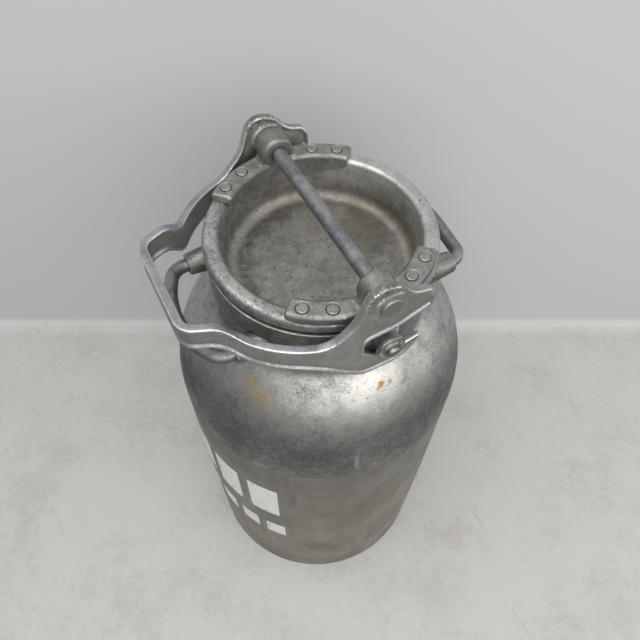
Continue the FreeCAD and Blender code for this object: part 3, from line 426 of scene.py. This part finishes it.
def lid_aluminium(recipe):
    """The lid: a mottled bright rim bead, paler towards the nose as painted light, and a dish browned and
    speckled by milk and dirt, with a painted highlight round its corner on the grip side and a patch of
    painted shade on its far side.
    """
    radius = recipe.radius()
    height = recipe.part(2)
    in_dish = recipe.step(height, DISH_FLOOR + 26 * MM, DISH_FLOOR + 10 * MM)
    clouds = recipe.noise(26 * MM, 6.0, 0.68)
    patches = recipe.noise(8 * MM, 5.0, 0.7)
    fine = recipe.noise(1.8 * MM, 4.0, 0.7)
    tone = recipe.step(recipe.layered((clouds, 0.4), (patches, 0.3), (fine, 0.32)), 0.38, 0.62)
    rim = recipe.blend(tone, grey(0.17, 0.03), grey(0.54, 0.02))
    # Painted light: the rim bead turns paler towards the nose side.
    lit_towards_nose = recipe.step(recipe.part(0), 10 * MM, 70 * MM)
    rim = recipe.blend(recipe.times(lit_towards_nose, 0.35), rim, grey(0.75, 0.01))
    dish = recipe.blend(tone, grey(0.19, 0.06), grey(0.39, 0.05))
    recipe.colour = recipe.blend(in_dish, rim, dish)
    to_grip = recipe.step(recipe.part(0), 25 * MM, -25 * MM)
    inside = recipe.step(radius, RIM_RADIUS * 0.87, RIM_RADIUS * 0.80)
    speckled = recipe.step(recipe.noise(5 * MM, 8.0, 0.85), 0.40, 0.58)
    corner = recipe.times(recipe.band(radius, 57 * MM, 66 * MM, 6 * MM), in_dish)
    corner = recipe.times(corner, speckled)
    recipe.cover(corner, recipe.span(to_grip, 0.3, 0.95), grey(0.08, 0.16))
    lit = recipe.times(recipe.band(radius, 67 * MM, 73 * MM, 3 * MM), recipe.times(in_dish, to_grip))
    recipe.cover(lit, 0.45, grey(0.50, 0.10))
    # Dark patches on the dish floor; the large one is painted shade.
    for degrees, away, size, strength in DISH_PATCHES:
        patch = recipe.blotch(around(degrees, DISH_FLOOR, away * MM), size * MM, 1.5)
        recipe.cover(patch, strength, grey(0.12, 0.12))
    wall = recipe.times(recipe.band(height, DISH_FLOOR + 3 * MM, DISH_FLOOR + 20 * MM, 5 * MM), inside)
    browned = recipe.step(recipe.noise(14 * MM, 6.0, 0.7), 0.38, 0.62)
    browned = recipe.times(browned, recipe.span(to_grip, 0.6, 0.15))
    recipe.cover(wall, browned, grey(0.25, 0.30))
    specks = recipe.times(recipe.specks(5 * MM, 0.26), recipe.step(recipe.noise(18 * MM), 0.42, 0.58))
    recipe.cover(specks, 0.7, grey(0.09, 0.14))
    recipe.grain(1.3 * MM, 0.08 * MM)
    recipe.grain(8 * MM, 0.25 * MM)
    recipe.grain(30 * MM, 0.5 * MM)
    recipe.emboss(specks, -0.1 * MM)
    return recipe.finish(0.90, recipe.add(recipe.span(tone, 0.50, 0.40), recipe.times(in_dish, 0.08)))


def forged_lever(recipe):
    """The lever: a blue-grey forging, dull in its webs and polished by hands along every border. Its faces
    are toned by which way they turn, darker and bluer facing up, as painted light, and its hollows hold dirt
    and painted shade.
    """
    up = recipe.facing_up()
    clouds = recipe.noise(16 * MM, 5.0, 0.65)
    fine = recipe.noise(1.5 * MM, 4.0, 0.7)
    tone = recipe.step(recipe.layered((clouds, 0.5), (fine, 0.5)), 0.36, 0.66)
    # Painted light: faces turned up get a darker, bluer tone than faces turned sideways.
    side_face_tone = recipe.blend(tone, grey(0.40, 0.03), grey(0.60, 0.02))
    top_face_tone = recipe.blend(tone, grey(0.24, -0.05), grey(0.44, -0.04))
    recipe.colour = recipe.blend(recipe.step(up, 0.35, 0.75), side_face_tone, top_face_tone)
    # Dirt and painted shade in the hollows, broken up by noise.
    dirt_and_shade = recipe.times(recipe.shaded_hollows(9 * MM), recipe.step(recipe.noise(6 * MM), 0.3, 0.55))
    recipe.cover(dirt_and_shade, 0.65, grey(0.09, 0.08))
    worn = recipe.times(recipe.edges(0.512, 0.56), recipe.step(recipe.noise(7 * MM, 5.0, 0.65), 0.26, 0.46))
    recipe.cover(worn, 0.9, grey(0.86, 0.01))
    on_cheek = recipe.step(recipe.part(2), 518 * MM, 524 * MM)
    chipped = recipe.times(on_cheek, recipe.step(recipe.noise(2.6 * MM, 6.0, 0.8), 0.46, 0.56))
    recipe.cover(chipped, 0.75, grey(0.13, 0.22))
    specks = recipe.specks(7 * MM, 0.10)
    recipe.cover(specks, 0.6, grey(0.08, 0.15))
    recipe.emboss(chipped, -0.2 * MM)
    recipe.grain(1.0 * MM, 0.06 * MM)
    recipe.grain(6 * MM, 0.22 * MM)
    recipe.emboss(specks, -0.12 * MM)
    return recipe.finish(0.90, recipe.add(recipe.span(tone, 0.50, 0.38), recipe.times(worn, -0.14)))


def galvanised_steel(recipe):
    """The cross rod and the handles: a dull blue-grey zinc coat with a rubbed, brownish bloom. The
    rod's riveted heads are barer and brighter."""
    clouds = recipe.noise(10 * MM, 5.0, 0.7)
    fine = recipe.noise(1.4 * MM, 4.0, 0.7)
    tone = recipe.step(recipe.layered((clouds, 0.5), (fine, 0.5)), 0.36, 0.66)
    recipe.colour = recipe.blend(tone, grey(0.15, -0.05), grey(0.31, -0.03))
    rubbed = recipe.step(recipe.noise(16 * MM, 4.0, 0.6), 0.50, 0.66)
    recipe.cover(rubbed, 0.6, grey(0.36, 0.02))
    riveted = recipe.step(recipe.maths("ABSOLUTE", recipe.part(1)), 90 * MM, 92 * MM)
    recipe.cover(riveted, 0.8, grey(0.38, 0.03))
    # Painted shade in the hollows.
    recipe.cover(recipe.shaded_hollows(6 * MM), 0.5, grey(0.08, 0.1))
    specks = recipe.specks(4 * MM, 0.13)
    recipe.cover(specks, 0.6, grey(0.09, 0.2))
    recipe.grain(1.2 * MM, 0.09 * MM)
    recipe.grain(6 * MM, 0.25 * MM)
    recipe.emboss(specks, -0.10 * MM)
    return recipe.finish(0.85, recipe.span(tone, 0.52, 0.42))


def turned_steel(recipe):
    """Rollers, washers and studs: dark in the corners with painted shade, and bright on the edges."""
    clouds = recipe.noise(5 * MM, 5.0, 0.7)
    fine = recipe.noise(0.9 * MM, 4.0, 0.7)
    tone = recipe.step(recipe.layered((clouds, 0.5), (fine, 0.5)), 0.36, 0.66)
    recipe.colour = recipe.blend(tone, grey(0.20, 0.04), grey(0.38, 0.04))
    # Painted shade in the corners.
    recipe.cover(recipe.shaded_hollows(5 * MM), 0.7, grey(0.07, 0.1))
    worn = recipe.times(recipe.edges(0.515, 0.57), recipe.step(recipe.noise(3 * MM, 4.0, 0.65), 0.28, 0.5))
    recipe.cover(worn, 0.85, grey(0.84, 0.05))
    recipe.grain(0.8 * MM, 0.06 * MM)
    recipe.grain(3 * MM, 0.12 * MM)
    return recipe.finish(0.92, recipe.add(recipe.span(tone, 0.46, 0.34), recipe.times(worn, -0.1)))


def rivet_aluminium(recipe):
    """Rivets: hammered flush, each head ringed by a dark line of painted shade."""
    fine = recipe.noise(1.2 * MM, 4.0, 0.7)
    clouds = recipe.noise(3 * MM)
    tone = recipe.step(recipe.layered((clouds, 0.5), (fine, 0.5)), 0.36, 0.66)
    recipe.colour = recipe.blend(tone, grey(0.22, 0.04), grey(0.40, 0.03))
    # Painted shade round each head.
    recipe.cover(recipe.shaded_hollows(2.5 * MM), 0.4, grey(0.10, 0.10))
    recipe.grain(0.9 * MM, 0.10 * MM)
    recipe.grain(2.4 * MM, 0.25 * MM)
    return recipe.finish(0.90, recipe.span(tone, 0.52, 0.40))


def seal_rubber(recipe):
    """The gasket: black rubber gone dusty."""
    dust = recipe.step(recipe.noise(4 * MM, 5.0, 0.7), 0.42, 0.66)
    recipe.colour = recipe.blend(dust, grey(0.030, 0.02), grey(0.085, 0.08))
    recipe.grain(0.8 * MM, 0.05 * MM)
    return recipe.finish(0.0, recipe.span(dust, 0.55, 0.75))


def mixed(mixer, seed):
    """The material that one of the functions above mixes, named after that function."""
    return mixer(Recipe(mixer.__name__, seed))


# One material for each of the record's slots, and one more for the handle sockets. The seeds are so
# far apart that no two materials share a pattern.
MATERIALS = {
    "body_aluminium": mixed(body_aluminium, 1),
    "shoulder_aluminium": mixed(shoulder_aluminium, 40),
    "cast_aluminium": mixed(cast_aluminium, 90),
    "lid_aluminium": mixed(lid_aluminium, 130),
    "forged_lever": mixed(forged_lever, 190),
    "galvanised_steel": mixed(galvanised_steel, 230),
    "turned_steel": mixed(turned_steel, 260),
    "rivet_aluminium": mixed(rivet_aluminium, 290),
    "seal_rubber": mixed(seal_rubber, 310),
    "stained_casting": mixed(stained_casting, 340),
}


def melt(node, voxel):
    """Rounds a casting's edges: one closed skin of even small faces, then smoothed a little."""
    weld = node.modifiers.new("weld", "WELD")
    weld.merge_threshold = 0.001 * MM
    skin = node.modifiers.new("skin", "REMESH")
    skin.mode = "VOXEL"
    skin.voxel_size = voxel
    skin.use_smooth_shade = True
    soft = node.modifiers.new("soft", "SMOOTH")
    soft.factor = 0.5
    soft.iterations = MELT_ROUNDS


def dress(name, node, slot):
    """Gives a CAD node its material, and a casting its soft edges."""
    if name.startswith("handle_socket"):
        slot = "stained_casting"
    node.data.materials.clear()
    node.data.materials.append(MATERIALS[slot])
    for start, voxel in MELT_SIZES.items():
        if name.startswith(start):
            melt(node, voxel)


for row in frame["record"]["subparts"]:
    dress(row["node"], frame["nodes"][row["node"]], row["material_slot"])


# Studio

def add_camera():
    """The camera, at the height and angle from which the can is shown."""
    camera = bpy.data.objects.new("camera", bpy.data.cameras.new("camera"))
    bpy.context.scene.collection.objects.link(camera)
    camera.location = CAMERA_PLACE
    camera.rotation_euler = CAMERA_TURN
    camera.data.sensor_width = 36
    camera.data.lens = camera.data.sensor_width / 2 / math.tan(CAMERA_ANGLE / 2)
    camera.data.clip_start = 0.01
    bpy.context.scene.camera = camera


def area_light(name, place, target, size, power, colour):
    """A flat soft lamp at a place, turned to its target."""
    light = bpy.data.lights.new(name, "AREA")
    light.shape = "RECTANGLE"
    light.size, light.size_y = size
    light.energy = power
    light.color = colour
    lamp = bpy.data.objects.new(name, light)
    lamp.location = place
    lamp.rotation_euler = (Vector(target) - lamp.location).to_track_quat("-Z", "Y").to_euler()
    bpy.context.scene.collection.objects.link(lamp)


def sweep_mesh():
    """A floor that turns up into a wall behind the can, as one strip."""
    side = Vector((WALL_AWAY.y, -WALL_AWAY.x, 0)) * ROOM_REACH
    floor_end = WALL_DISTANCE - WALL_BEND
    profile = [(-ROOM_REACH, 0.0), (floor_end, 0.0)]
    for turn in range(1, 6):
        angle = math.radians(90 * turn / 5)
        profile.append((floor_end + WALL_BEND * math.sin(angle), WALL_BEND * (1 - math.cos(angle))))
    profile.append((WALL_DISTANCE, ROOM_REACH))
    points = []
    for away, up in profile:
        middle = WALL_AWAY * away + Vector((0, 0, up))
        points += [middle - side, middle + side]
    faces = [(2 * i, 2 * i + 1, 2 * i + 3, 2 * i + 2) for i in range(len(profile) - 1)]
    mesh = bpy.data.meshes.new("sweep")
    mesh.from_pydata(points, [], faces)
    return mesh


def sweep_material():
    """Pale painted floor and wall, scuffed on the floor, and clear when seen from behind. What the
    metal mirrors of the floor's far parts is dark, as it would be in a room."""
    recipe = Recipe("studio", 400)
    on_floor = recipe.step(recipe.part(2), 12 * MM, 2 * MM)
    clouds = recipe.noise(90 * MM, 6.0, 0.7)
    fine = recipe.noise(8 * MM, 6.0, 0.7)
    # On the floor this mask is dirt alone, with no shade in it.
    dirt_and_shade = recipe.step(recipe.layered((clouds, 0.6), (fine, 0.4)), 0.46, 0.66)
    scuffs = recipe.step(recipe.noise(20 * MM, 6.0, 0.75, (1, 5, 1)), 0.60, 0.72)
    scratches = recipe.step(recipe.noise(4 * MM, 3.0, 0.6, (1, 16, 1)), 0.64, 0.70)
    recipe.colour = FLOOR
    recipe.cover(dirt_and_shade, 0.5, FLOOR_DIRT)
    recipe.cover(scuffs, 0.25, FLOOR_SCUFF)
    recipe.cover(scratches, 0.35, FLOOR_SCRATCH)
    mirrored = recipe.node("ShaderNodeLightPath").outputs["Is Glossy Ray"]
    beyond = recipe.step(recipe.radius(), 220 * MM, 550 * MM)
    recipe.cover(beyond, mirrored, FLOOR_BEYOND)
    recipe.colour = recipe.blend(on_floor, WALL, recipe.colour)
    recipe.emboss(fine, 0.1 * MM)
    material = recipe.finish(0.0, 0.6)
    behind = recipe.node("ShaderNodeNewGeometry").outputs["Backfacing"]
    clear = recipe.node("ShaderNodeBsdfTransparent").outputs[0]
    both = recipe.node("ShaderNodeMixShader", behind, recipe.shader.outputs[0], clear).outputs[0]
    recipe.feed(recipe.tree.nodes["Material Output"].inputs["Surface"], both)
    return material


def add_sweep():
    """The floor and wall."""
    sweep = bpy.data.objects.new("sweep", sweep_mesh())
    sweep.data.materials.append(sweep_material())
    bpy.context.scene.collection.objects.link(sweep)


def add_world():
    """Soft room light: dimmer towards the horizon, with a pale plain backdrop for the camera."""
    world = bpy.data.worlds.new("room")
    world.use_nodes = True
    bpy.context.scene.world = world
    tree = world.node_tree
    direction = tree.nodes.new("ShaderNodeTexCoord").outputs["Generated"]
    split = tree.nodes.new("ShaderNodeSeparateXYZ")
    tree.links.new(direction, split.inputs[0])
    strength = tree.nodes.new("ShaderNodeMapRange")
    strength.interpolation_type = "SMOOTHSTEP"
    tree.links.new(split.outputs[2], strength.inputs[0])
    for name, value in (("From Min", 0.05), ("From Max", 0.95), ("To Min", 0.30), ("To Max", 0.55)):
        strength.inputs[name].default_value = value
    seen = tree.nodes.new("ShaderNodeLightPath").outputs["Is Camera Ray"]
    choice = tree.nodes.new("ShaderNodeMix")
    tree.links.new(seen, choice.inputs[0])
    tree.links.new(strength.outputs[0], choice.inputs[2])
    choice.inputs[3].default_value = BACKDROP
    background = tree.nodes["Background"]
    background.inputs["Color"].default_value = SKY
    tree.links.new(choice.outputs[0], background.inputs["Strength"])


add_camera()
add_sweep()
add_world()
area_light("overhead", (-0.6, -0.2, 2.1), (0, 0, 0.3), (1.8, 1.8), 23, (1.0, 0.99, 0.97))
area_light("key", (-0.05, -1.5, 1.3), (0, 0, 0.4), (2.8, 1.1), 21, (1.0, 0.985, 0.95))
area_light("side", (2.1, -1.1, 0.7), (0, 0, 0.35), (1.4, 1.2), 9, (1.0, 0.99, 0.98))
bpy.context.scene.view_settings.view_transform = "Standard"
